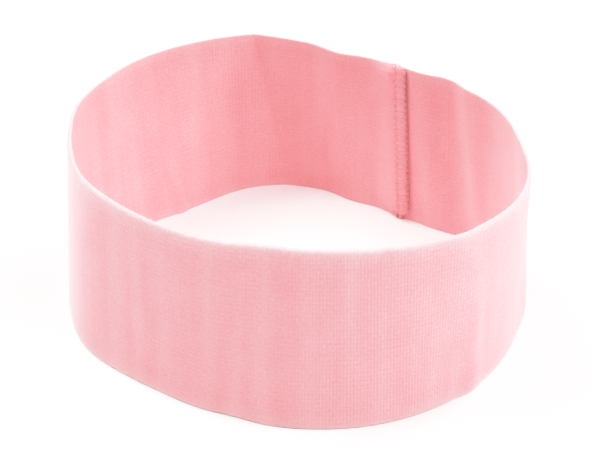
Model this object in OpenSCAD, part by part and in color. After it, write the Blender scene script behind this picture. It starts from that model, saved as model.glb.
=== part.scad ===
// Wide elastic headband: one strip of woven elastic closed into a loop by an overlocked seam.
// The loop stands on its lower selvedge. +Z is up, +Y points out through the seam at the nape,
// and the origin is the middle of the loop's footprint on the surface that it stands on.

/* [Strip] */
// Width of the elastic strip, which is the height of the loop
strip_w = 60; // [40:1:80]
// Thickness of the elastic strip
strip_t = 1.4; // [1.2:0.1:2]
// Thickness of each of the strip's two cloth faces
cloth_t = 0.4; // [0.3:0.05:0.45]
// Distance between neighbouring elastic threads
core_pitch = 1.44; // [1.2:0.02:3]
// Side of the square section of one elastic thread
core_side = 0.5; // [0.3:0.05:0.5]

/* [Loop] */
// Bend radii of the wall left of the seam: the flat nape, then the tight corner beside it
nape_left_r = [136, 34]; // [30:1:145]
// Turns of those two bends in degrees
nape_left_turn = [19, 32]; // [17:1:34]
// Bend radii of the front half, from the left side to the right side
front_r = [70, 87, 60]; // [58:1:90]
// Turns of the first two bends of the front half in degrees
front_turn = [61, 63]; // [59:1:65]
// Bend radii of the wall right of the seam, from the widest point back
side_right_r = [72, 64]; // [60:1:76]
// Turns of those two bends in degrees
side_right_turn = [40, 26]; // [24:1:42]

/* [Seam] */
// Length of strip turned in at each end
allowance_w = 4; // [3:0.5:6]
// Thickness of one turned-in end, pressed thinner by the stitches
allowance_t = 0.9; // [0.9:0.05:1.2]
// Distance of the needle line from the fold of the seam
needle_line = 0.7; // [0.5:0.1:1]
// Number of stitches across the strip
stitches = 24; // [16:1:28]
// Diameter of the sewing threads
thread_d = 0.35; // [0.25:0.05:0.4]

/* [Hidden] */

// Clearances: between the loop's halves, between the strip's two ends, between the folded
// allowances and the wall, and between pieces that lie against each other
half_gap = 0.3;
end_gap = 0.1;
fold_gap = 0.3;
lay_gap = 0.05;
// The allowances end this far above and below the strip's own edges
allowance_trim = 1;
allowance_cloth_t = 0.18;

// The bends of the wall in order, anticlockwise from the seam. Bends 0 to 2 make the left part
// of the back half, bends 3 to 5 the front half, and bends 6 to 8 the right part of the back
// half. Each bend is tangent to the next one, and the halves meet at the widest points.
back_left = [0, 2];
front = [3, 5];
back_right = [6, 8];
bend_turn = [
    nape_left_turn[0],
    nape_left_turn[1],
    90 - nape_left_turn[0] - nape_left_turn[1],
    front_turn[0],
    front_turn[1],
    180 - front_turn[0] - front_turn[1],
    side_right_turn[0],
    side_right_turn[1],
    90 - side_right_turn[0] - side_right_turn[1]
];
last_bend = 8;
seam_dir = 90;
function start_dir(i) = i == 0 ? seam_dir : start_dir(i - 1) + bend_turn[i - 1];
function end_dir(i) = start_dir(i) + bend_turn[i];
function dir(a) = [cos(a), sin(a)];
function span(i) = dir(end_dir(i)) - dir(start_dir(i));

// Two bends, on the left side and right of the seam, take the radii that close the loop
side_left = 2;
nape_right = last_bend;
chosen_r = [
    nape_left_r[0], nape_left_r[1], 0,
    front_r[0], front_r[1], front_r[2],
    side_right_r[0], side_right_r[1], 0
];
function sum_spans(i) = i < 0 ? [0, 0] : sum_spans(i - 1) + chosen_r[i] * span(i);
function cross2(a, b) = a[0] * b[1] - a[1] * b[0];
open_part = -sum_spans(last_bend);
both_spans = cross2(span(side_left), span(nape_right));
side_left_r = cross2(open_part, span(nape_right)) / both_spans;
nape_right_r = cross2(span(side_left), open_part) / both_spans;
bend_r = [
    nape_left_r[0], nape_left_r[1], side_left_r,
    front_r[0], front_r[1], front_r[2],
    side_right_r[0], side_right_r[1], nape_right_r
];

// Where each bend starts, first with the seam at [0, 0] and then about the middle of the loop
function raw_start(i) = i == 0 ? [0, 0] : raw_start(i - 1) + bend_r[i - 1] * span(i - 1);
function raw_centre(i) = raw_start(i) - bend_r[i] * dir(start_dir(i));
front_dir = 270;
front_bend = [
    for (i = [front[0] : front[1]])
        if (start_dir(i) <= front_dir && front_dir < end_dir(i)) i
][0];
raw_front_y = raw_centre(front_bend)[1] - bend_r[front_bend];
raw_left_x = raw_start(front[0])[0];
raw_right_x = raw_start(back_right[0])[0];
middle = [(raw_left_x + raw_right_x) / 2, raw_front_y / 2];
function centre(i) = raw_centre(i) - middle;

core_count = floor((strip_w - 2 * core_pitch) / core_pitch / 2) * 2 + 1;
hollow_h = (core_count - 1) * core_pitch + core_side + 2 * lay_gap;

// Directions of the corners along a bend, every bend_step degrees or a little less. A positive
// cut moves the bend's end corner in by that angle, and a negative one adds a corner beyond it.
bend_step = 6;
function corners(i, from_cut, to_cut) =
    let (a = start_dir(i), b = end_dir(i), n = ceil((b - a) / bend_step))
    let (first_k = from_cut < 0 ? 0 : 1, last_k = to_cut < 0 ? n : n - 1)
    concat([a + from_cut], [for (k = [first_k : last_k]) a + (b - a) * k / n], [b - to_cut]);

// The line at the given offset outside the wall's middle line, through some bends. Its two
// ends are cut short by the given lengths of wall, or run past the wall's end if negative.
function wall_angle(length, i) = length / bend_r[i] * 180 / PI;
function wall_line(first, last, cut_start, cut_end, offset) = [
    for (i = [first : last])
        let (from_cut = i == first ? wall_angle(cut_start, i) : 0)
        let (to_cut = i == last ? wall_angle(cut_end, i) : 0)
        let (angles = corners(i, from_cut, to_cut))
        for (k = [(i == first ? 0 : 1) : len(angles) - 1])
            centre(i) + (bend_r[i] + offset) * dir(angles[k])
];
function backwards(p) = [for (k = [len(p) - 1 : -1 : 0]) p[k]];

// A ribbon of wall, t thick and h high, standing at height z
module ribbon(bends, cuts, t, z, h) {
    outside = wall_line(bends[0], bends[1], cuts[0], cuts[1], t / 2);
    inside = wall_line(bends[0], bends[1], cuts[0], cuts[1], -t / 2);
    translate([0, 0, z])
        linear_extrude(height = h)
            polygon(concat(outside, backwards(inside)));
}

// A length of the strip's cover: two cloth faces joined at both selvedges
module cover(bends, cuts) {
    past_ends = [-1, -1];
    difference() {
        ribbon(bends, cuts, strip_t, 0, strip_w);
        ribbon(bends, past_ends, strip_t - 2 * cloth_t, (strip_w - hollow_h) / 2, hollow_h);
    }
}

// Heights of the elastic threads, side by side over the strip's width
core_z = [
    for (k = [0 : core_count - 1])
        strip_w / 2 + (k - (core_count - 1) / 2) * core_pitch - core_side / 2
];

module elastic_threads(bends, cuts) {
    for (z = core_z)
        ribbon(bends, cuts, core_side, z, core_side);
}

back_left_cuts = [end_gap / 2, half_gap / 2];
front_cuts = [half_gap / 2, half_gap / 2];
back_right_cuts = [half_gap / 2, end_gap / 2];

module cover_front() {
    color("lightpink")
        cover(front, front_cuts);
}

module cover_back_left() {
    color("lightpink")
        cover(back_left, back_left_cuts);
}

module cover_back_right() {
    color("lightpink")
        cover(back_right, back_right_cuts);
}

module elastic_threads_front() {
    color("seashell")
        elastic_threads(front, front_cuts);
}

module elastic_threads_back_left() {
    color("seashell")
        elastic_threads(back_left, back_left_cuts);
}

module elastic_threads_back_right() {
    color("seashell")
        elastic_threads(back_right, back_right_cuts);
}

// The folded allowances lie against the inside of the right nape wall. Depth is counted
// inwards from that wall's inner face, and reach to the right from the seam.
right_low = fold_gap + thread_d + lay_gap;
left_low = right_low + allowance_t + lay_gap;
fold_top = left_low + allowance_t;
fold_middle = (right_low + fold_top) / 2;
function fold_r(depth) = nape_right_r - strip_t / 2 - depth;
function fold_dir(reach) = seam_dir - wall_angle(reach, last_bend);
function folded_corner(reach, depth) = centre(last_bend) + fold_r(depth) * dir(fold_dir(reach));
function fold_point(reach, depth, z) =
    let (p = folded_corner(reach, depth))
    [p[0], p[1], z];

// A folded length of wall, centred at the given depth, running past its ends by the given length
module folded_ribbon(depth, t, z, h, past) {
    reaches = [allowance_w + past, allowance_w / 2, -past];
    outside = [for (reach = reaches) folded_corner(reach, depth - t / 2)];
    inside = [for (reach = reaches) folded_corner(reach, depth + t / 2)];
    translate([0, 0, z])
        linear_extrude(height = h)
            polygon(concat(outside, backwards(inside)));
}

module seam_allowance(depth) {
    past_ends = 1;
    difference() {
        folded_ribbon(depth, allowance_t, allowance_trim, strip_w - 2 * allowance_trim, 0);
        folded_ribbon(depth, allowance_t - 2 * allowance_cloth_t, (strip_w - hollow_h) / 2,
                      hollow_h, past_ends);
    }
}

module allowance_threads(depth) {
    for (z = core_z)
        folded_ribbon(depth, core_side, z, core_side, 0);
}

module left_seam_allowance() {
    color("pink")
        seam_allowance(left_low + allowance_t / 2);
}

module right_seam_allowance() {
    color("pink")
        seam_allowance(right_low + allowance_t / 2);
}

module elastic_threads_left_allowance() {
    color("seashell")
        allowance_threads(left_low + allowance_t / 2);
}

module elastic_threads_right_allowance() {
    color("seashell")
        allowance_threads(right_low + allowance_t / 2);
}

// Sewing threads: a round tube swept along a route of points
thread_sides = 8;
stitch_margin = 1;
stitch_pitch = (strip_w - 2 * stitch_margin) / stitches;
function unit(v) = v / norm(v);
function heading(p, i) = unit(p[min(i + 1, len(p) - 1)] - p[max(i - 1, 0)]);
function square_to(v, t) = unit(v - (v * t) * t);
function side_vectors(p) = [
    for (i = 0, v = square_to([0, 0, 1], heading(p, 0) + [0.01, 0.02, 0]);
         i < len(p);
         i = i + 1, v = i < len(p) ? square_to(v, heading(p, i)) : v)
    v
];

module thread_tube(p) {
    sides = side_vectors(p);
    rings = [
        for (i = [0 : len(p) - 1])
            let (t = heading(p, i), u = square_to(sides[i], t), w = cross(t, u))
            for (k = [0 : thread_sides - 1])
                let (a = k * 360 / thread_sides)
                p[i] + thread_d / 2 * (cos(a) * u + sin(a) * w)
    ];
    last = len(p) - 1;
    walls = [
        for (i = [0 : last - 1], k = [0 : thread_sides - 1])
            let (n = (k + 1) % thread_sides, a = i * thread_sides, b = a + thread_sides)
            [a + k, b + k, b + n, a + n]
    ];
    caps = [
        [for (k = [0 : thread_sides - 1]) k],
        [for (k = [thread_sides - 1 : -1 : 0]) last * thread_sides + k]
    ];
    polyhedron(rings, concat(walls, caps), convexity = 10);
}

// One stitch of each thread as [reach, depth, share of the stitch pitch], from the bottom up
turn_reach = needle_line + 1.3 * thread_d;
edge_reach = allowance_w + thread_d / 2 + lay_gap;
top_depth = fold_top + thread_d / 2 + lay_gap;
under_depth = fold_gap + thread_d / 2;
top_corner = fold_top - thread_d / 2;
under_corner = right_low + thread_d / 2;
// The loopers meet round the raw edge, each a little to its own side of the middle
upper_meet = fold_middle + 0.7 * thread_d;
lower_meet = fold_middle - 0.7 * thread_d;
function looper_step(flat, meet) = [
    [turn_reach, flat, 0.09],
    [edge_reach, flat, 0.14],
    [edge_reach, meet, 0.2],
    [edge_reach, meet, 0.8],
    [edge_reach, flat, 0.86],
    [turn_reach, flat, 0.91]
];
needle_step = [
    [needle_line, top_depth, 0.12],
    [needle_line, top_depth, 0.78],
    [needle_line, top_corner, 0.84],
    [needle_line, under_corner, 0.84],
    [needle_line, under_depth, 0.9],
    [needle_line, under_depth, 1],
    [needle_line, under_corner, 1.06],
    [needle_line, top_corner, 1.06]
];
function stitch_route(step) = [
    for (k = [0 : stitches - 1], s = step)
    fold_point(s[0], s[1], stitch_margin + (k + s[2]) * stitch_pitch)
];

module needle_thread() {
    color("lightpink")
        thread_tube(stitch_route(needle_step));
}

module upper_looper_thread() {
    color("mistyrose")
        thread_tube(stitch_route(looper_step(top_depth, upper_meet)));
}

module lower_looper_thread() {
    color("mistyrose")
        thread_tube(stitch_route(looper_step(under_depth, lower_meet)));
}

cover_front();
cover_back_left();
cover_back_right();
elastic_threads_front();
elastic_threads_back_left();
elastic_threads_back_right();
left_seam_allowance();
right_seam_allowance();
elastic_threads_left_allowance();
elastic_threads_right_allowance();
needle_thread();
upper_looper_thread();
lower_looper_thread();
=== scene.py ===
"""A wide pink elastic headband: one strip of soft woven elastic, closed into a loop by an
overlocked seam whose two allowances are folded flat against the inside of the nape."""

import math

import bpy
import numpy as np
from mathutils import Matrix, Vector
from mathutils.geometry import convex_hull_2d


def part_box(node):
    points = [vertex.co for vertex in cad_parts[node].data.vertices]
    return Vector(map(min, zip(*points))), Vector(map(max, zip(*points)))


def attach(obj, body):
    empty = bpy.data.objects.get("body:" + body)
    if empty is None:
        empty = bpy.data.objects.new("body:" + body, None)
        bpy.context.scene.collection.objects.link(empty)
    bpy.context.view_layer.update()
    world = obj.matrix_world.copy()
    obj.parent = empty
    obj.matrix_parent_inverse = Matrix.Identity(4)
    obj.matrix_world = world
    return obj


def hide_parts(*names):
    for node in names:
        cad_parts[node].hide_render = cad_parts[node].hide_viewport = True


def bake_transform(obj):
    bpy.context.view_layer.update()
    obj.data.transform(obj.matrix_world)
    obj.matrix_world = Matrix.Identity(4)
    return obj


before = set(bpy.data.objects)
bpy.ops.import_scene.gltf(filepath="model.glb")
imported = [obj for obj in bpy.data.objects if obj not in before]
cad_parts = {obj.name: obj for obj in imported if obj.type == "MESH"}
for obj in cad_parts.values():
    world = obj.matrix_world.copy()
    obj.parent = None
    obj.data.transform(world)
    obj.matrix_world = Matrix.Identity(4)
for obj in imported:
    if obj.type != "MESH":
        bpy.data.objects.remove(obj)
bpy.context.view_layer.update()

MM = 0.001

# ---------------------------------------------------------------- camera
CAMERA_AT = Vector((0.33037, -0.50413, 0.37602))
CAMERA_TARGET = Vector((-0.00280, 0.00890, 0.02487))
SENSOR_WIDTH = 36
LENS = 129.14
SEES_AS_FAR_AS = 10


def make_camera():
    data = bpy.data.cameras.new("camera")
    data.sensor_width = SENSOR_WIDTH
    data.lens = LENS
    data.clip_end = SEES_AS_FAR_AS
    camera = bpy.data.objects.new("camera", data)
    bpy.context.scene.collection.objects.link(camera)
    camera.location = CAMERA_AT
    camera.rotation_euler = (CAMERA_TARGET - CAMERA_AT).to_track_quat("-Z", "Y").to_euler()
    bpy.context.scene.camera = camera


make_camera()

# ---------------------------------------------------------------- sizes
left_low, left_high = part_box("cover_back_left")
right_low, right_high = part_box("cover_back_right")
STRIP_W = left_high.z
SEAM_X = (left_high.x + right_low.x) / 2

# The strip and its seam, as the CAD part has them
STRIP_T = 1.4 * MM
ALLOWANCE_W = 4 * MM
ALLOWANCE_T = 0.9 * MM
UNDER_GAP = 0.7 * MM
LAY_GAP = 0.05 * MM
CORE_D = 0.5 * MM
CORE_PITCH = 1.44 * MM
CORE_COUNT = 39
THREAD_D = 0.35 * MM
STITCHES = 24
NEEDLE_LINE = 0.7 * MM

# The cloth's ribs run across the strip. They stand out of both faces a little
RIB_PITCH = 1.05 * MM
RIB_RELIEF = 0.016 * MM

# How the soft loop leans and sags away from the even wall: direction seen from the middle and
# half width in degrees, then the push outwards at the top and at the bottom edge in mm
WAVES = [
    (-16, 54, 2.5, -2.0),
    (4, 30, 0.0, 0.4),
    (38, 24, -1.5, 4.0),
    (50, 24, 0.6, 0.0),
    (64, 32, 0.0, 5.0),
    (89, 20, 0.0, 1.9),
    (102, 14, -2.5, 0.5),
    (122, 38, 2.0, 9.0),
    (152, 44, 4.0, -4.0),
    (190, 16, 1.0, 0.0),
    (214, 22, -0.8, -0.7),
    (220, 60, -2.0, 1.5),
    (238, 18, 0.0, 0.6),
    (266, 42, -2.7, -2.0),
    (316, 56, -6.0, 1.0),
    (346, 26, -0.8, 0.0),
]
# All round, the bottom edge stands in by this much, in mm
BOTTOM_PUSH = -1.0


# ---------------------------------------------------------------- the wall's line
# Corners of the CAD wall that agree to this many decimals of a metre are the same, and those
# nearer to each other than the gap become one
SAME_TO_DIGITS = 7
CORNER_GAP = 1 * MM
# Points on each span of the curve through them, and the step at which the wall is kept
SPAN_POINTS = 60
WALL_STEP = 0.2 * MM
# A distance for points that can't be at the seam, in metres
FAR = 1


def merged(points, nearest):
    """Points that lie closer than nearest to the one before become one at their middle."""
    kept = [points[0]]
    for p in points[1:]:
        if np.linalg.norm(p - kept[-1]) < nearest:
            kept[-1] = (kept[-1] + p) / 2
        else:
            kept.append(p)
    if np.linalg.norm(kept[0] - kept[-1]) < nearest:
        kept[0] = (kept[0] + kept.pop()) / 2
    return np.array(kept)


def closed_spline(points, per_span):
    """A closed cubic curve through the points, as a fine polyline."""
    n = len(points)
    spans = np.linalg.norm(np.roll(points, -1, 0) - points, axis=1)
    before = np.roll(spans, 1)
    system = np.zeros((n, n))
    right = np.zeros((n, 2))
    for i in range(n):
        a, b = before[i], spans[i]
        after = (i + 1) % n
        system[i, [i - 1, i, after]] = b, 2 * (a + b), a
        right[i] = 3 * (b * (points[i] - points[i - 1]) / a + a * (points[after] - points[i]) / b)
    slopes = np.linalg.solve(system, right)
    u = np.linspace(0, 1, per_span, endpoint=False)[:, None]
    line = []
    for i in range(n):
        after = (i + 1) % n
        line.append(
            (2 * u**3 - 3 * u**2 + 1) * points[i]
            + (u**3 - 2 * u**2 + u) * spans[i] * slopes[i]
            + (3 * u**2 - 2 * u**3) * points[after]
            + (u**3 - u**2) * spans[i] * slopes[after]
        )
    return np.concatenate(line)


def lengths_along(line):
    steps = np.linalg.norm(np.diff(line, axis=0), axis=1)
    return np.concatenate([[0], np.cumsum(steps)])


def at_lengths(line, along, wanted):
    return np.stack([np.interp(wanted, along, line[:, k]) for k in range(line.shape[1])], -1)


def outer_corners():
    """The outside corners of the CAD wall, anticlockwise. The wall is convex, so they are a hull."""
    corners = set()
    for name in ("cover_front", "cover_back_left", "cover_back_right"):
        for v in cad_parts[name].data.vertices:
            corners.add((round(v.co.x, SAME_TO_DIGITS), round(v.co.y, SAME_TO_DIGITS)))
    corners = [Vector(p) for p in sorted(corners)]
    points = np.array([corners[i] for i in convex_hull_2d(corners)])
    after = np.roll(points, -1, 0)
    turns_left = np.sum(points[:, 0] * after[:, 1] - after[:, 0] * points[:, 1]) > 0
    return points if turns_left else points[::-1]


def loop_normals(line):
    """Outward unit normals along a closed anticlockwise line."""
    t = np.roll(line, -1, 0) - np.roll(line, 1, 0)
    t /= np.linalg.norm(t, axis=1)[:, None]
    return np.stack([t[:, 1], -t[:, 0]], 1)


def wall_line():
    """The middle of the wall's thickness, closed, starting at the seam, with its normals."""
    line = closed_spline(merged(outer_corners(), CORNER_GAP), SPAN_POINTS)
    line = line - loop_normals(line) * STRIP_T / 2
    from_seam = np.where(line[:, 1] > 0, np.abs(line[:, 0] - SEAM_X), FAR)
    line = np.roll(line, -np.argmin(from_seam), axis=0)
    ring = np.vstack([line, line[:1]])
    along = lengths_along(ring)
    count = round(along[-1] / WALL_STEP)
    wanted = np.linspace(0, along[-1], count, endpoint=False)
    line = at_lengths(ring, along, wanted)
    return line, loop_normals(line), along[-1]


WALL, WALL_NORMAL, LOOP_LENGTH = wall_line()
WALL_S = np.linspace(0, LOOP_LENGTH, len(WALL), endpoint=False)
WALL_DIRECTION = np.degrees(np.arctan2(WALL[:, 1], WALL[:, 0]))


def smooth(x):
    """A soft step from 0 at 0 to 1 at 1."""
    x = np.clip(x, 0, 1)
    return x * x * (3 - 2 * x)


def bump(distance, half_width):
    """A round rise: 1 in its middle, and 0 from half_width on."""
    return np.where(np.abs(distance) < half_width, 0.5 + 0.5 * np.cos(np.pi * distance / half_width), 0)


def wave_push():
    """How far the waves push the top and the bottom edge outwards, at each point of the wall."""
    top = np.zeros(len(WALL))
    bottom = np.full(len(WALL), BOTTOM_PUSH)
    for centre, half_width, at_top, at_bottom in WAVES:
        turn = (WALL_DIRECTION - centre + 180) % 360 - 180
        share = bump(turn, half_width)
        top += at_top * share
        bottom += at_bottom * share
    return top * MM, bottom * MM


TOP_PUSH_AT, BOTTOM_PUSH_AT = wave_push()


# A sharp fold's flanks meet in a rounding of this size, and fall off at this rate
FOLD_ROUNDING = 0.5 * MM
FOLD_FALL = 2.5


def sharp(x, half_width):
    """Two straight flanks that meet in a narrow rounded line."""
    soft = np.sqrt(x**2 + FOLD_ROUNDING**2)
    return np.exp(-FOLD_FALL * soft / half_width)


# Small folds of the cloth: a round bump or a sharp one, where it crosses the top and the bottom
# edge (length from the seam, anticlockwise), its half width, and its push outwards at the top and
# at the bottom, all in mm
FOLDS = [
    (sharp, 54.0, 44.5, 16, 2.0, 0.9),
    (bump, 25.0, 20.0, 11, -2.0, -1.5),
    (bump, 12.0, 7.5, 9, 1.1, 0.3),
    (bump, -1.5, -1.5, 6.5, -0.5, -0.2),
    (bump, 453.0, 447.0, 9, -1.3, -0.8),
    (bump, 440.0, 433.0, 9, 1.4, 1.0),
    (bump, 242.0, 236.0, 16, 0.4, 0.3),
    (bump, 262.0, 252.0, 13, -0.8, -0.7),
    (bump, 326.0, 333.0, 8, 0.7, 0.8),
]
# Short creases: where each starts and where it runs out near an edge, as (length, height), then
# its half width and its push outwards, all in mm. A crease deepens over the first part of its run
CREASES = [
    ((290, 48.5), (301, 60), 3, -0.5),
    ((92.5, 34), (85, 2), 4, -0.6),
]
DEEPENS_BY = 1 / 1.4


def crease_push(s, z, start, end, half_width, push):
    """How far one crease pushes the cloth outwards at length s and height z."""
    run = (np.array(end) - start) * MM
    length = np.linalg.norm(run)
    ds, dz = s - start[0] * MM, z - start[1] * MM
    across = (ds * run[1] - dz * run[0]) / length
    part = (ds * run[0] + dz * run[1]) / length**2
    return push * MM * bump(across, half_width * MM) * smooth(part / DEEPENS_BY)


def fold_push(s, z):
    """How far the folds and creases push the cloth outwards at length s and height z."""
    push = np.zeros(np.broadcast(s, z).shape)
    for shape, at_top, at_bottom, half_width, top, bottom in FOLDS:
        share = z / STRIP_W
        x = s - (at_bottom + (at_top - at_bottom) * share) * MM
        x = (x + LOOP_LENGTH / 2) % LOOP_LENGTH - LOOP_LENGTH / 2
        push = push + shape(x, half_width * MM) * (bottom + (top - bottom) * share) * MM
    for crease in CREASES:
        push = push + crease_push(s, z, *crease)
    return push


RING_S = np.append(WALL_S, LOOP_LENGTH)

# The seam's foot has slipped to the right of its head, and the cloth beside it leans with it
SEAM_LEAN = 1.6 * MM
LEAN_REACH = 40 * MM


def seam_slip(s, z):
    """How far the cloth beside the leaning seam has moved along the strip."""
    from_seam = (s + LOOP_LENGTH / 2) % LOOP_LENGTH - LOOP_LENGTH / 2
    return SEAM_LEAN * (z / STRIP_W - 0.5) * bump(from_seam, LEAN_REACH)


def on_wall(values, s):
    """A value of the closed wall at lengths s from the seam."""
    ring = np.vstack([values, values[:1]]) if values.ndim > 1 else np.append(values, values[0])
    s = np.asarray(s) % LOOP_LENGTH
    if values.ndim == 1:
        return np.interp(s, RING_S, ring)
    return np.stack([np.interp(s, RING_S, ring[:, k]) for k in range(2)], -1)


def wall_point(s, z, depth):
    """A point at length s from the seam and height z, depth inwards of the wall's middle line."""
    s, z, depth = np.broadcast_arrays(s, z, depth)
    s = s + seam_slip(s, z)
    share = z / STRIP_W
    push = on_wall(BOTTOM_PUSH_AT, s) * (1 - share) + on_wall(TOP_PUSH_AT, s) * share
    push = push + fold_push(s % LOOP_LENGTH, z) - depth
    flat = on_wall(WALL, s) + on_wall(WALL_NORMAL, s) * push[..., None]
    return np.concatenate([flat, z[..., None]], -1)


# ---------------------------------------------------------------- strips of cloth
# The selvedges curl inwards: the outer face rounds over a long run, the inner face over a short
# one, and the rim between them lies this share of the thickness inwards of the middle
OUTER_RUN = 2.4 * MM
INNER_RUN = 0.6 * MM
RIM_AT = -0.2
EDGE_ROWS = 5
# Below 1 the rounding is fuller than an ellipse
ROUNDING_POWER = 0.8


def make_object(name, points, faces, flat_faces=()):
    mesh = bpy.data.meshes.new(name)
    mesh.from_pydata(points.tolist(), [], [list(f) for f in faces] + [list(f) for f in flat_faces])
    mesh.polygons.foreach_set("use_smooth", [True] * len(faces) + [False] * len(flat_faces))
    mesh.update()
    piece = bpy.data.objects.new(name, mesh)
    bpy.context.scene.collection.objects.link(piece)
    return piece


def add_uv(piece, name, u, v):
    """A map over the piece from two values at each vertex."""
    mesh = piece.data
    corner_vertex = np.empty(len(mesh.loops), int)
    mesh.loops.foreach_get("vertex_index", corner_vertex)
    uv = np.stack([u[corner_vertex], v[corner_vertex]], 1)
    layer = mesh.uv_layers.new(name=name)
    layer.data.foreach_set("uv", uv.astype(np.float32).ravel())


# The selvedges are paler, partly from worn fibres and partly as a painted highlight where the top light
# catches the rim. The pale zone fades over this much of the outer and the inner face
OUTER_PALE = 1.4 * MM
INNER_PALE = 0.4 * MM


def add_cloth_maps(piece, along, across, offset, sewn=0.0):
    """Metres along the strip and over its width, and how near the selvedge is: 1 on it, 0 far off,
    and 0 where the strip is sewn down."""
    add_uv(piece, "cloth", along, across)
    to_edge = np.minimum(across, STRIP_W - across)
    fade = np.where(offset > RIM_AT, OUTER_PALE, INNER_PALE)
    # The selvedge map's first value masks the paler tone: wear plus a painted highlight on the rim
    add_uv(piece, "selvedge", np.exp(-to_edge / fade) * (1 - sewn), offset)


def tube_faces(rings, sides):
    """Quads round a run of closed rings, and the two end caps."""
    k = np.arange(sides)
    after = (k + 1) % sides
    i = np.arange(rings - 1)[:, None] * sides
    quads = np.stack([i + k, i + sides + k, i + sides + after, i + after], -1).reshape(-1, 4)
    first = list(range(sides))
    last = [(rings - 1) * sides + j for j in range(sides)][::-1]
    return quads, [first, last]


def section(face_rows):
    """The strip's closed section: shares of the thickness outwards, and heights. The outer face
    comes first, going up."""
    turn = np.linspace(0, np.pi / 2, EDGE_ROWS + 1)[1:]
    out = RIM_AT + (0.5 - RIM_AT) * np.cos(turn) ** ROUNDING_POWER
    inn = RIM_AT - (0.5 + RIM_AT) * np.cos(turn) ** ROUNDING_POWER
    outer_rise = OUTER_RUN * np.sin(turn)
    inner_rise = INNER_RUN * np.sin(turn)
    outer_z = np.linspace(OUTER_RUN, STRIP_W - OUTER_RUN, face_rows)
    inner_z = np.linspace(STRIP_W - INNER_RUN, INNER_RUN, face_rows + 2)
    parts = [
        (np.full(face_rows, 0.5), outer_z),
        (out, STRIP_W - OUTER_RUN + outer_rise),
        (inn[-2::-1], STRIP_W - INNER_RUN + inner_rise[-2::-1]),
        (np.full(face_rows + 2, -0.5), inner_z),
        (inn, INNER_RUN - inner_rise),
        (out[-2::-1], OUTER_RUN - outer_rise[-2::-1]),
    ]
    return np.concatenate([p[0] for p in parts]), np.concatenate([p[1] for p in parts])


def inner_share(offset):
    """1 on the inner face, and 0 from the middle of the thickness outwards."""
    return np.clip(-2 * offset, 0, 1)


# Left of the seam the inner face rises gently onto the folded allowances, but not at the edges
SWELL_FROM = 12 * MM
SWELL_TO = -0.5 * MM
SWELL_LOW = (0.5 * MM, 4 * MM)
SWELL_HIGH = (0.2 * MM, 1.8 * MM)


def swell(s, z):
    """How much deeper than the plain wall the inner face is, at length s from the seam."""
    rise = smooth((SWELL_FROM - s) / (SWELL_FROM - SWELL_TO))
    low = smooth((z - SWELL_LOW[0]) / SWELL_LOW[1])
    high = smooth((STRIP_W - SWELL_HIGH[0] - z) / SWELL_HIGH[1])
    return FLAP_RISE * rise * low * high


def cloth_normals(forward, upward):
    """Outward unit normals of a sheet from its directions along the strip and up it."""
    normal = np.cross(forward, upward)
    return normal / np.linalg.norm(normal, axis=2)[:, :, None]


# ---------------------------------------------------------------- the band
RIB_COLUMNS = 4
BAND_ROWS = 17
# Half the height over which the cloth's upward direction is taken
SLOPE_STEP = 0.2 * MM


def make_band():
    """The whole strip apart from its sewn ends."""
    start, end = JOG_REACH, LOOP_LENGTH - FOLD_REACH
    ribs = round((end - start) / RIB_PITCH)
    columns = ribs * RIB_COLUMNS + 1
    s = np.linspace(start, end, columns)[:, None]
    offset, height = section(BAND_ROWS)
    z = height[None, :]
    forward = np.gradient(wall_point(s, z, 0), axis=0)
    upward = wall_point(s, z + SLOPE_STEP, 0) - wall_point(s, z - SLOPE_STEP, 0)
    thick = (STRIP_T + 2 * RIB_RELIEF * np.cos(2 * np.pi * s / RIB_PITCH)) * offset
    middle = wall_point(s, z, swell(s, z) * inner_share(offset))
    points = middle + cloth_normals(forward, upward) * thick[:, :, None]
    sides = len(offset)
    quads, caps = tube_faces(columns, sides)
    piece = make_object("elastic_band", points.reshape(-1, 3), quads, caps)
    add_cloth_maps(piece, np.repeat(s, sides), np.tile(height, columns), np.tile(offset, columns))
    return piece


FIBRES = 9000
FIBRE_SEED = 11
FIBRE_RADIUS = 0.022 * MM
SHORTEST, LONGEST = 0.25 * MM, 0.8 * MM
# No fibres this near to the seam
FIBRE_FREE = 1 * MM
# This share of them is on the top selvedge. Those on the bottom one can't stand down
ON_TOP = 0.6
BOTTOM_RISE = 0.1
# How far a fibre leans outwards, how far it still rises if it leans all the way, and how far it
# strays sideways and bends, as shares of its length
LEAN_IN, LEAN_OUT = -0.3, 1.0
LEAST_UPRIGHT = math.sqrt(0.05)
SIDEWAYS = 0.6
CURL = 0.25
ROOT_SINK = 0.1 * MM
# Where a fibre's middle is between its root and its tip, sideways and outwards
MIDDLE_SIDEWAYS = 0.4
MIDDLE_OUT = 0.55
MIDDLE_RADIUS = 0.8
FIBRE_FACES = [(2, 1, 0), (0, 1, 4, 3), (1, 2, 5, 4), (2, 0, 3, 5), (3, 4, 6), (4, 5, 6), (5, 3, 6)]
# A direction that nothing here runs along, to start side vectors from
ASKEW = (0.3, 0.5, 0.8)


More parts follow.
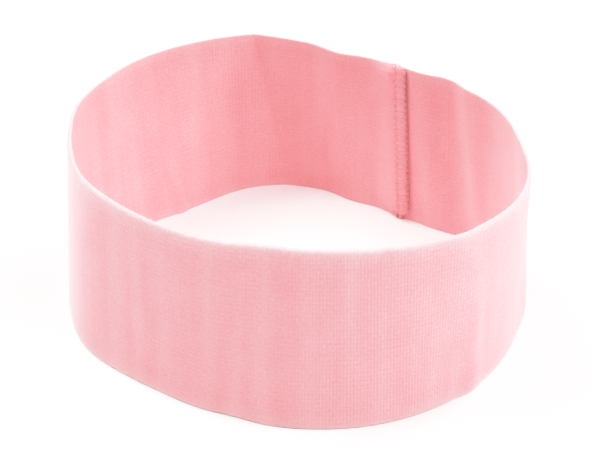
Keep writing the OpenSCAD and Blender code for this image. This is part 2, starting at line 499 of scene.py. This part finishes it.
def make_fuzz():
    """Short loose fibres that stand off both selvedges and soften their outline."""
    rng = np.random.default_rng(FIBRE_SEED)
    s = rng.uniform(JOG_REACH + FIBRE_FREE, LOOP_LENGTH - FOLD_REACH - FIBRE_FREE, FIBRES)
    top = rng.random(FIBRES) < ON_TOP
    lean = rng.uniform(LEAN_IN, LEAN_OUT, FIBRES)
    length = rng.uniform(SHORTEST, LONGEST, FIBRES)
    sideways = rng.uniform(-SIDEWAYS, SIDEWAYS, FIBRES) * length
    curl = rng.uniform(-CURL, CURL, FIBRES) * length

    upright = np.sqrt(1 - lean**2)
    root_z = np.where(top, STRIP_W - OUTER_RUN * (1 - upright), OUTER_RUN * (1 - upright))
    root_depth = ROOT_SINK - (RIM_AT + (0.5 - RIM_AT) * lean) * STRIP_T
    rise = np.where(top, 1, BOTTOM_RISE) * np.maximum(upright, LEAST_UPRIGHT) * length
    out = lean * length
    mid = wall_point(s + sideways * MIDDLE_SIDEWAYS + curl, root_z + rise * MIDDLE_OUT,
                     root_depth - out * MIDDLE_OUT)
    tip = wall_point(s + sideways, root_z + rise, root_depth - out)
    root = wall_point(s, root_z, root_depth)

    along = tip - root
    along /= np.linalg.norm(along, axis=1)[:, None]
    side_u = np.cross(along, ASKEW)
    side_u /= np.linalg.norm(side_u, axis=1)[:, None]
    side_w = np.cross(along, side_u)
    points = []
    for centre, radius in ((root, FIBRE_RADIUS), (mid, FIBRE_RADIUS * MIDDLE_RADIUS)):
        for corner in range(3):
            a = corner * 2 * math.pi / 3
            points.append(centre + (side_u * math.cos(a) + side_w * math.sin(a)) * radius)
    points.append(tip)
    faces = [[len(points) * k + i for i in face] for k in range(FIBRES) for face in FIBRE_FACES]
    return make_object("selvedge_fuzz", np.stack(points, 1).reshape(-1, 3), faces)


# ---------------------------------------------------------------- the folded seam
HALF_T = STRIP_T / 2
RIGHT_DEPTH = HALF_T + UNDER_GAP + ALLOWANCE_T / 2
LEFT_DEPTH = RIGHT_DEPTH + ALLOWANCE_T + LAY_GAP
TOP_DEPTH = LEFT_DEPTH + ALLOWANCE_T / 2
FLAP_RISE = TOP_DEPTH - HALF_T
# The left panel turns inwards this far from the seam, on the first radius, and on the second one
# it turns into the upper allowance
JOG_REACH = 1.75 * MM
FIRST_RADIUS = 0.9 * MM
SECOND_RADIUS = 1.0 * MM
JOG_END = -JOG_REACH + FIRST_RADIUS + SECOND_RADIUS
JOG_LENGTH = math.pi / 2 * (FIRST_RADIUS + SECOND_RADIUS) + LEFT_DEPTH - FIRST_RADIUS - SECOND_RADIUS
OUTER_RADIUS = FIRST_RADIUS + HALF_T
# The right panel folds back on itself this far from the seam
FOLD_REACH = RIGHT_DEPTH / 2 + HALF_T + LAY_GAP
# The allowances' free ends hang back against the panel, from this far past the seam
DROOP = 0.85 * MM
DROOP_FROM = 1.0 * MM
ARC_POINTS = 9
LAY_POINTS = 12


def arc(centre, radius, start, end, count):
    """Points (reach, depth) along an arc between two angles in degrees."""
    a = np.radians(np.linspace(start, end, count))
    return np.stack([centre[0] + radius * np.cos(a), centre[1] + radius * np.sin(a)], 1)


def drooped(route):
    """The points (reach, depth) of a route with the allowances' droop."""
    droop = DROOP * smooth((route[:, 0] - DROOP_FROM) / (ALLOWANCE_W - DROOP_FROM))
    return np.column_stack([route[:, 0], route[:, 1] - droop])


def left_route():
    """The left panel turns inwards beside the seam and goes on as the upper allowance."""
    first = arc((-JOG_REACH, FIRST_RADIUS), FIRST_RADIUS, -90, 0, ARC_POINTS)
    second = arc((JOG_END, LEFT_DEPTH - SECOND_RADIUS), SECOND_RADIUS, 180, 90, ARC_POINTS)
    on = np.linspace(JOG_END, ALLOWANCE_W, LAY_POINTS)[1:]
    return drooped(np.vstack([first, second, np.column_stack([on, np.full(len(on), LEFT_DEPTH)])]))


def right_route():
    """The right panel turns back on itself at the seam and goes on as the lower allowance."""
    radius = RIGHT_DEPTH / 2
    fold = arc((FOLD_REACH, radius), radius, 270, 90, 2 * ARC_POINTS - 1)
    on = np.linspace(FOLD_REACH, ALLOWANCE_W, LAY_POINTS)[1:]
    return drooped(np.vstack([fold, np.column_stack([on, np.full(len(on), RIGHT_DEPTH)])]))


# The flap of the two allowances ends a little short of both edges, the stitches just inside it
FLAP_LOW = 2.6 * MM
FLAP_HIGH = STRIP_W - 0.25 * MM
STITCH_MARGIN = 0.4 * MM
FIRST_STITCH = FLAP_LOW + STITCH_MARGIN
STITCH_PITCH = (FLAP_HIGH - STITCH_MARGIN - FIRST_STITCH) / STITCHES


def on_flap_height(z, share):
    """Heights squeezed towards the flap's, fully where share is 1."""
    flap = FLAP_LOW + z / STRIP_W * (FLAP_HIGH - FLAP_LOW)
    return z + (flap - z) * share


# The outer faces fill the corners of their turns, so the seam shows outside as a fine line
CORNER_POWER = 8
# Over this part of the thickness the section changes from its inner to its outer face
OUTSIDE_FROM = -0.45
OUTSIDE_OVER = 0.25
# The turned cloth's top rim dips a little
RIM_DROP = 0.1 * MM
# Where along its route a strip's end starts to get slim, and over which length it does
SLIM_FROM = 1.8 * MM
SLIM_OVER = 1.8 * MM
# The raw edge is rounded over this length, down to a thin end
EDGE_ROUND = 1.0 * MM
EDGE_THIN = 0.05
# How far a thread presses the flap down: along its bar, and more at its needle hole
BAR_DEPTH = 0.28 * MM
HOLE_DEPTH = 0.4 * MM
HOLE_RADIUS = 0.45 * MM
# The width of that dent, as a share of the stitch pitch
PRESS_WIDTH = 0.2
# How far a thread pulls in the raw edge, and from where over which length the pull grows
EDGE_WAVE = 0.7 * MM
PULL_FROM = 2.4 * MM
PULL_OVER = 1.6 * MM
ROUTE_STEP = 0.15 * MM
FLAP_ROWS = 150


def corner_fill(turn, radius):
    """How far the outer face bulges out of its arc, from the angle that the strip has turned."""
    power = CORNER_POWER
    turn = np.clip(turn, 0, np.pi / 2)
    return radius * ((np.cos(turn) ** power + np.sin(turn) ** power) ** (-1 / power) - 1)


# Each stitch presses the cloth down by its own share of these depths, and the cloth puffs up
# between them
PRESS_SEED = 7
PRESS = 0.7 + 0.6 * np.random.default_rng(PRESS_SEED).random(STITCHES + 1)


def stitch_press(z):
    """1 or so on a stitch, and 0 between two of them."""
    x = (z - FIRST_STITCH) / STITCH_PITCH
    nearest = np.clip(np.round(x), 0, STITCHES).astype(int)
    return PRESS[nearest] * np.exp(-(((x - nearest) / PRESS_WIDTH) ** 2))


def flap_top(wanted, reach, depth, thickness, z, press, pull, first_normal):
    """The inner face of the left end: the panel's swell runs on over the turn and becomes the
    flap's top. It starts along the panel's own normals, so that it joins the panel's inner face."""
    turning = wanted < JOG_LENGTH
    reach = np.where(turning, -JOG_REACH + (JOG_REACH + JOG_END) * wanted / JOG_LENGTH, reach)
    depth = np.where(turning, HALF_T + swell(-reach, z), depth + thickness / 2)
    bar = BAR_DEPTH * smooth((reach - NEEDLE_LINE / 2) / NEEDLE_LINE)
    hole = HOLE_DEPTH * np.exp(-(((reach - NEEDLE_LINE) / HOLE_RADIUS) ** 2))
    depth = depth - (bar + hole) * press
    top = wall_point(pull - reach, z, depth)
    as_panel = wall_point(pull - reach, z, depth - HALF_T) - first_normal * HALF_T
    return top + (as_panel - top) * (1 - smooth(wanted / JOG_LENGTH))[:, :, None]


def make_allowance(name, route, first_u, side):
    """One allowance, from where its panel leaves the wall to its raw edge. Its route is made of
    points (reach, depth): how far right of the seam, and how far inwards of the wall's middle. Side
    is -1 for the left one, whose inner face shows, and 1 for the right one, which lies under it."""
    along = lengths_along(route)
    wanted = np.linspace(0, along[-1], round(along[-1] / ROUTE_STEP) + 1)
    reach, depth = at_lengths(route, along, wanted).T[:, :, None]
    heading = np.gradient(np.column_stack([reach, depth]), axis=0)
    turn = np.arctan2(heading[:, 1], -side * heading[:, 0])[:, None]
    wanted = wanted[:, None]
    offset, height = section(FLAP_ROWS)
    offset, height = offset[None, :], height[None, :]

    slim = smooth((wanted - SLIM_FROM) / SLIM_OVER)
    to_edge = np.clip((along[-1] - wanted) / EDGE_ROUND, EDGE_THIN, 1)
    thickness = (STRIP_T + (ALLOWANCE_T - STRIP_T) * slim) * np.sqrt(1 - (1 - to_edge) ** 2)
    z = on_flap_height(height, slim)
    press = stitch_press(z)

    turn = np.where((side > 0) | (depth < FIRST_RADIUS), turn, 0)
    outside = smooth((offset - OUTSIDE_FROM) / OUTSIDE_OVER)
    turned = np.sin(np.clip(turn, 0, np.pi)) * outside
    offset = offset + (0.5 - offset) * turned
    z = z - RIM_DROP * turned * smooth((height - STRIP_W / 2) / (STRIP_W / 2))
    thick = thickness * offset + corner_fill(turn, OUTER_RADIUS) * outside
    pull = smooth((reach - PULL_FROM) / PULL_OVER) * press * EDGE_WAVE

    s = pull - reach
    middle = wall_point(s, z, depth)
    forward = np.gradient(wall_point(-reach, z, depth), axis=0) * side
    upward = wall_point(s, z + SLOPE_STEP, depth) - wall_point(s, z - SLOPE_STEP, depth)
    normal = cloth_normals(forward, upward)
    points = middle + normal * thick[:, :, None]
    if side < 0:
        top = flap_top(wanted, reach, depth, thickness, z, press, pull, normal[:1])
        points = points + (top - points) * inner_share(offset)[:, :, None]
    points = points[::side]
    u = np.broadcast_to(first_u + side * wanted, z.shape)[::side]
    quads, caps = tube_faces(*z.shape)
    piece = make_object(name, points.reshape(-1, 3), quads, caps)
    flat_offset = np.broadcast_to(offset, z.shape)[::side].ravel()
    sewn = np.broadcast_to(smooth(wanted / FIRST_RADIUS), z.shape)[::side].ravel()
    add_cloth_maps(piece, u.ravel(), z[::side].ravel(), flat_offset, sewn)
    return piece


band = make_band()
fuzz = make_fuzz()
left_end = make_allowance("left_seam_end", left_route(), JOG_REACH, -1)
right_end = make_allowance("right_seam_end", right_route(), LOOP_LENGTH - FOLD_REACH, 1)


# ---------------------------------------------------------------- threads
def smooth_route(points, step):
    """A Catmull-Rom curve through the points, sampled about every step."""
    p = np.vstack([2 * points[0] - points[1], points, 2 * points[-1] - points[-2]])
    curve = []
    for i in range(1, len(p) - 2):
        count = max(2, round(np.linalg.norm(p[i + 1] - p[i]) / step))
        t = np.linspace(0, 1, count, endpoint=False)[:, None]
        curve.append(0.5 * (2 * p[i] + (p[i + 1] - p[i - 1]) * t
                            + (2 * p[i - 1] - 5 * p[i] + 4 * p[i + 1] - p[i + 2]) * t**2
                            + (3 * p[i] - 3 * p[i + 1] + p[i + 2] - p[i - 1]) * t**3))
    return np.vstack(curve + [points[-1:]])


def frames_along(line):
    """Two side vectors at each point of a line, carried along it without twist."""
    t = np.gradient(line, axis=0)
    t /= np.linalg.norm(t, axis=1)[:, None]
    u = np.cross(t[0], ASKEW)
    us = []
    for direction in t:
        u = u - direction * (u @ direction)
        u = u / np.linalg.norm(u)
        us.append(u)
    us = np.array(us)
    return us, np.cross(t, us)


def make_tube(line, radius, sides, twist=0.0, relief=0.0):
    """Points and faces of a tube along a line. A twisted thread has its two plies as relief."""
    u, w = frames_along(line)
    a = np.arange(sides) * 2 * np.pi / sides
    along = lengths_along(line)
    r = radius * (1 - relief + relief * np.abs(np.cos(a[None, :] - twist * along[:, None])))
    points = line[:, None, :] + r[:, :, None] * (np.cos(a)[None, :, None] * u[:, None, :]
                                                 + np.sin(a)[None, :, None] * w[:, None, :])
    quads, caps = tube_faces(len(line), sides)
    return points.reshape(-1, 3), quads, caps, np.repeat(along, sides), np.tile(a, len(line))


# How fast the plies turn, in radians per metre, and how deep the groove between them is, as a
# share of the radius
TWIST = 2 * math.pi / (1.1 * MM)
PLY_RELIEF = 0.28
THREAD_STEP = 0.13 * MM
THREAD_SIDES = 10
# A thread that droops stays this far off the panel's inner face
THREAD_CLEAR = 0.12 * MM


def make_thread(name, route, radius):
    line = smooth_route(route, THREAD_STEP)
    points, quads, caps, along, around = make_tube(line, radius, THREAD_SIDES, TWIST, PLY_RELIEF)
    piece = make_object(name, points, quads[:, ::-1], [c[::-1] for c in caps])
    add_uv(piece, "cloth", along, around)
    return piece


def stitch_route(step):
    """One thread's route from (reach, depth, share of the stitch pitch), stitch after stitch."""
    reach, depth, share = np.tile(np.array(step), (STITCHES, 1)).T
    z = FIRST_STITCH + (np.repeat(np.arange(STITCHES), len(step)) + share) * STITCH_PITCH
    reach, depth = drooped(np.column_stack([reach, depth])).T
    depth = np.maximum(depth, HALF_T + THREAD_CLEAR)
    return wall_point(-reach, z, depth)


# The looper threads run round the raw edge and turn back beside the needle line
EDGE_REACH = ALLOWANCE_W + 0.1 * MM
TURN_REACH = NEEDLE_LINE + 0.35 * MM
UNDER_DEPTH = HALF_T + UNDER_GAP - THREAD_D / 2 - LAY_GAP
FOLD_MIDDLE = (HALF_T + UNDER_GAP + TOP_DEPTH) / 2
IN_GROOVE = TOP_DEPTH - 0.2 * MM


def looper_step(flat, meet):
    """A looper thread's step: its bars lie at depth flat, and it runs at meet past the raw edge."""
    middle_reach = (TURN_REACH + EDGE_REACH) / 2
    return [
        (TURN_REACH, flat, 0.07),
        (middle_reach, flat, 0.09),
        (EDGE_REACH - 0.3 * MM, flat, 0.11),
        (EDGE_REACH, meet, 0.22),
        (EDGE_REACH + 0.05 * MM, meet, 0.5),
        (EDGE_REACH, meet, 0.78),
        (EDGE_REACH - 0.3 * MM, flat, 0.89),
        (middle_reach, flat, 0.91),
        (TURN_REACH, flat, 0.93),
    ]


NEEDLE_STEP = [
    (NEEDLE_LINE, TOP_DEPTH + 0.1 * MM, 0.2),
    (NEEDLE_LINE, TOP_DEPTH + 0.2 * MM, 0.5),
    (NEEDLE_LINE, TOP_DEPTH + 0.1 * MM, 0.8),
    (NEEDLE_LINE, TOP_DEPTH - 0.4 * MM, 0.94),
    (NEEDLE_LINE, UNDER_DEPTH + 0.4 * MM, 0.96),
    (NEEDLE_LINE, UNDER_DEPTH, 0.99),
    (NEEDLE_LINE, UNDER_DEPTH, 1.02),
    (NEEDLE_LINE, UNDER_DEPTH + 0.4 * MM, 1.04),
    (NEEDLE_LINE, TOP_DEPTH - 0.4 * MM, 1.06),
]

# Past the raw edge the two looper threads run side by side, this far off the flap's middle
BESIDE = 0.35 * MM
upper_step = looper_step(IN_GROOVE, FOLD_MIDDLE + BESIDE)
lower_step = looper_step(UNDER_DEPTH, FOLD_MIDDLE - BESIDE)
# The needle thread is pulled tight, and so thinner than the two loopers
needle = make_thread("needle_stitches", stitch_route(NEEDLE_STEP), THREAD_D * 0.4)
upper_looper = make_thread("upper_looper_stitches", stitch_route(upper_step), THREAD_D * 0.5)
lower_looper = make_thread("lower_looper_stitches", stitch_route(lower_step), THREAD_D * 0.5)

CORE_HEIGHTS = STRIP_W / 2 + (np.arange(CORE_COUNT) - (CORE_COUNT - 1) / 2) * CORE_PITCH
CORE_SIDES = 6
CORE_STEP = 1.6 * MM
# In an allowance the threads are pressed thin, start just inside it and end short of its raw edge
PRESSED_CORE_D = 0.3 * MM
PRESSED_STEP = 0.5 * MM
CORE_START = 0.1 * MM
CORE_SHORT = 0.9 * MM


def make_cores(name, s, depth, on_flap=0.0, diameter=CORE_D):
    """The elastic threads inside a length of strip, side by side over its width."""
    points, quads, caps, start = [], [], [], 0
    for z in CORE_HEIGHTS:
        line = wall_point(s, on_flap_height(z, on_flap), depth)
        p, q, c, _, _ = make_tube(line, diameter / 2, CORE_SIDES)
        points.append(p)
        quads.append(q[:, ::-1] + start)
        caps += [[k + start for k in cap[::-1]] for cap in c]
        start += len(p)
    return make_object(name, np.vstack(points), np.vstack(quads), caps)


def allowance_cores(name, route):
    """The same threads inside an allowance."""
    along = lengths_along(route)
    wanted = np.arange(CORE_START, along[-1] - CORE_SHORT, PRESSED_STEP)
    reach, depth = at_lengths(route, along, wanted).T
    return make_cores(name, -reach, depth, smooth((wanted - SLIM_FROM) / SLIM_OVER), PRESSED_CORE_D)


band_s = np.arange(JOG_REACH, LOOP_LENGTH - FOLD_REACH, CORE_STEP)
cores = make_cores("elastic_threads", band_s, np.zeros(len(band_s)))
left_cores = allowance_cores("left_end_threads", left_route())
right_cores = allowance_cores("right_end_threads", right_route())


# ---------------------------------------------------------------- materials
class Nodes:
    """A short way to write a node tree."""

    def __init__(self, name):
        self.material = bpy.data.materials.new(name)
        self.material.use_nodes = True
        self.tree = self.material.node_tree
        self.shader = self.tree.nodes["Principled BSDF"]

    def add(self, kind, inputs=None, **settings):
        node = self.tree.nodes.new(kind)
        for key, value in settings.items():
            setattr(node, key, value)
        for key, value in (inputs or {}).items():
            self.put(value, node.inputs[key])
        return node

    def put(self, value, socket):
        if isinstance(value, bpy.types.NodeSocket):
            self.tree.links.new(value, socket)
        else:
            socket.default_value = value

    def math(self, operation, *values):
        node = self.tree.nodes.new("ShaderNodeMath")
        node.operation = operation
        for k, value in enumerate(values):
            self.put(value, node.inputs[k])
        return node.outputs[0]

    def scaled(self, value, factor):
        return self.math("MULTIPLY", value, factor)

    def noise(self, vector, scale, detail):
        inputs = {"Vector": vector, "Scale": scale, "Detail": detail}
        return self.add("ShaderNodeTexNoise", inputs).outputs[0]

    def bumps(self, height, strength, distance):
        inputs = {"Height": height, "Strength": strength, "Distance": distance}
        return self.add("ShaderNodeBump", inputs).outputs[0]

    def mix(self, share, a, b):
        node = self.tree.nodes.new("ShaderNodeMix")
        node.data_type = "RGBA"
        self.put(share, node.inputs[0])
        self.put(a, node.inputs[6])
        self.put(b, node.inputs[7])
        return node.outputs[2]

    def set(self, **values):
        for key, value in values.items():
            self.put(value, self.shader.inputs[key.replace("_", " ")])


PINK_DEEP = (0.82, 0.29, 0.316, 1)
PINK_PALE = (0.86, 0.42, 0.443, 1)
# The selvedges' paler tone: partly wear, partly a painted highlight from the top light. Loose fibres
# also mix towards it
EDGE_PALE = (0.82, 0.63, 0.64, 1)
FIBRE_PINK = (0.82, 0.56, 0.58, 1)
THREAD_PINK = (0.86, 0.37, 0.40, 1)
THREAD_PALE = (0.90, 0.52, 0.55, 1)
RUBBER_DULL = (0.80, 0.76, 0.70, 1)
RUBBER_PALE = (0.92, 0.89, 0.84, 1)


def cloth_material():
    """Uneven ribs and rows with fine fibres. The colour deepens in the weave's grooves as painted
    shade, with a mottle, painted shade in streaks that run up the strip, and a paler selvedge tone
    that is partly worn fibres and partly a painted highlight from the top light."""
    n = Nodes("soft_pink_elastic")
    uv = n.add("ShaderNodeUVMap", uv_map="cloth").outputs[0]
    u, v, _ = n.add("ShaderNodeSeparateXYZ", {0: uv}).outputs
    shift = n.scaled(n.math("SUBTRACT", n.noise(uv, 260.0, 2.0), 0.5), 3.0)
    rib = n.math("COSINE", n.math("ADD", n.scaled(u, 2 * math.pi / RIB_PITCH), shift))
    row = n.math("COSINE", n.math("ADD", n.scaled(v, 2 * math.pi / CORE_PITCH), shift))
    fibre = n.noise(uv, 3600.0, 3.0)
    thick = n.noise(uv, 1100.0, 2.0)
    mottle = n.noise(uv, 90.0, 5.0)
    # Painted shade: soft streaks up the strip stand in for the shade of shallow upright folds
    upright = n.add("ShaderNodeCombineXYZ", {0: n.scaled(u, 110.0), 1: n.scaled(v, 9.0)}).outputs[0]
    streak_shade = n.noise(upright, 1.0, 4.0)
    lattice = n.math("ADD", n.scaled(rib, 0.18), n.scaled(row, 0.2))
    uneven = n.math("MULTIPLY", lattice, n.scaled(thick, 2.0))
    height = n.math("ADD", uneven, n.scaled(fibre, 0.9))
    # Painted shade: the colour deepens where the weave's height is low, in its grooves
    share = n.math("ADD", n.scaled(uneven, 0.35), n.scaled(mottle, 0.5))
    share = n.math("ADD", share, n.math("SUBTRACT", n.scaled(thick, 1.2), 0.4))
    share = n.math("ADD", share, n.scaled(n.math("SUBTRACT", streak_shade, 0.5), 1.1))
    selvedge = n.add("ShaderNodeUVMap", uv_map="selvedge").outputs[0]
    near = n.add("ShaderNodeSeparateXYZ", {0: selvedge}).outputs[0]
    # Painted highlight with wear: near the selvedges the colour turns to the pale tone
    worn_and_lit = n.math("MULTIPLY", near, n.math("ADD", n.scaled(thick, 0.8), 0.4))
    colour = n.mix(worn_and_lit, n.mix(share, PINK_DEEP, PINK_PALE), EDGE_PALE)
    n.set(Base_Color=colour, Roughness=0.9, Normal=n.bumps(height, 0.5, 0.1 * MM))
    n.set(Sheen_Weight=0.6, Sheen_Roughness=0.4, Sheen_Tint=(1, 1, 1, 1), Specular_IOR_Level=0.15)
    return n.material


def fuzz_material():
    n = Nodes("loose_pink_fibres")
    tint = n.noise(n.add("ShaderNodeTexCoord").outputs["Object"], 400.0, 1.0)
    n.set(Base_Color=n.mix(tint, FIBRE_PINK, EDGE_PALE), Roughness=0.6, Sheen_Weight=0.5)
    return n.material


def thread_material():
    n = Nodes("pink_sewing_thread")
    fibre = n.noise(n.add("ShaderNodeUVMap", uv_map="cloth").outputs[0], 4200.0, 2.0)
    n.set(Base_Color=n.mix(fibre, THREAD_PINK, THREAD_PALE), Roughness=0.7)
    n.set(Normal=n.bumps(fibre, 0.5, 0.05 * MM), Sheen_Weight=0.3, Specular_IOR_Level=0.3)
    return n.material


def rubber_material():
    n = Nodes("white_rubber_thread")
    speckle = n.noise(n.add("ShaderNodeTexCoord").outputs["Object"], 1500.0, 2.0)
    n.set(Base_Color=n.mix(speckle, RUBBER_DULL, RUBBER_PALE), Roughness=0.5)
    n.set(Normal=n.bumps(speckle, 0.3, 0.05 * MM))
    return n.material


cloth = cloth_material()
fuzz.data.materials.append(fuzz_material())
thread = thread_material()
rubber = rubber_material()
for piece in (band, left_end, right_end):
    piece.data.materials.append(cloth)
for piece, slot in (
    (needle, "needle_thread"),
    (upper_looper, "looper_thread"),
    (lower_looper, "looper_thread"),
):
    piece.data.materials.append(thread)
for piece in (cores, left_cores, right_cores):
    piece.data.materials.append(rubber)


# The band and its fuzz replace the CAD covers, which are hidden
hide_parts("cover_front", "cover_back_left", "cover_back_right")
for piece in (band, fuzz):
    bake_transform(piece)
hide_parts("elastic_threads_front", "elastic_threads_back_left", "elastic_threads_back_right")
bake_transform(cores)

# The seam leans; its foot and head on the inner face
seam_foot, seam_head = wall_point(0, np.array([0, STRIP_W]), HALF_T)
for piece, node in (
    (left_end, "left_seam_allowance"),
    (right_end, "right_seam_allowance"),
    (left_cores, "elastic_threads_left_allowance"),
    (right_cores, "elastic_threads_right_allowance"),
):
    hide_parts(node)
    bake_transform(piece)
for piece, node in (
    (needle, "needle_thread"),
    (upper_looper, "upper_looper_thread"),
    (lower_looper, "lower_looper_thread"),
):
    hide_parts(node)
    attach(piece, "seam_fold")


# ---------------------------------------------------------------- floor and light
FLOOR_HALF = 3.0
WORLD_STRENGTH = 0.03
LIGHT_SIZE = 0.6
LIGHT_DISTANCE = 1.2
# Each light's name, azimuth anticlockwise from +X and elevation in degrees, and power in watts.
# Most light comes from the sides and grazes the cloth, so that its folds show
LIGHTS = [
    ("left_high", 178, 60, 11.8),
    ("left_front", 220, 36, 7.2),
    ("front_top", 285, 66, 2.6),
    ("right_front", 350, 44, 7.6),
    ("right_back", 24, 38, 8.3),
    ("back", 75, 44, 6.6),
]


def make_floor():
    mesh = bpy.data.meshes.new("floor")
    half = FLOOR_HALF
    corners = [(-half, -half, 0), (half, -half, 0), (half, half, 0), (-half, half, 0)]
    mesh.from_pydata(corners, [], [(0, 1, 2, 3)])
    floor = bpy.data.objects.new("floor", mesh)
    bpy.context.scene.collection.objects.link(floor)
    n = Nodes("white_paper")
    n.set(Base_Color=(0.95, 0.95, 0.95, 1), Roughness=0.9, Specular_IOR_Level=0.1)
    mesh.materials.append(n.material)


def around(azimuth, elevation):
    """A place in the studio, from the two angles in degrees."""
    a, e = math.radians(azimuth), math.radians(elevation)
    return Vector((math.cos(a) * math.cos(e), math.sin(a) * math.cos(e), math.sin(e))) * LIGHT_DISTANCE


def area_light(name, at, target, power):
    data = bpy.data.lights.new(name, "AREA")
    data.shape = "DISK"
    data.size = LIGHT_SIZE
    data.energy = power
    light = bpy.data.objects.new(name, data)
    bpy.context.scene.collection.objects.link(light)
    light.location = at
    light.rotation_euler = (target - at).to_track_quat("-Z", "Y").to_euler()


def make_light():
    world = bpy.data.worlds.new("studio")
    world.use_nodes = True
    background = world.node_tree.nodes["Background"]
    background.inputs["Color"].default_value = (1, 1, 1, 1)
    background.inputs["Strength"].default_value = WORLD_STRENGTH
    bpy.context.scene.world = world
    for name, azimuth, elevation, power in LIGHTS:
        area_light(name, around(azimuth, elevation), Vector((0, 0, STRIP_W / 2)), power)


# The camera's tone curve: bright tones roll off softly up to white. Each pair is light in and
# light out, and the last one is the curve's end
TONES = [
    (0.6, 0.6),
    (0.8, 0.79),
    (0.9, 0.85),
    (1.0, 0.885),
    (1.2, 0.93),
    (1.5, 1.0),
    (2.0, 1.0),
]


def set_tones():
    view = bpy.context.scene.view_settings
    view.view_transform = "Standard"
    view.use_curve_mapping = True
    mapping = view.curve_mapping
    white = TONES[-1][0]
    mapping.white_level = (white, white, white)
    curve = mapping.curves[3]
    for light_in, light_out in TONES[:-1]:
        curve.points.new(light_in / white, light_out)
    mapping.update()


make_floor()
make_light()
set_tones()
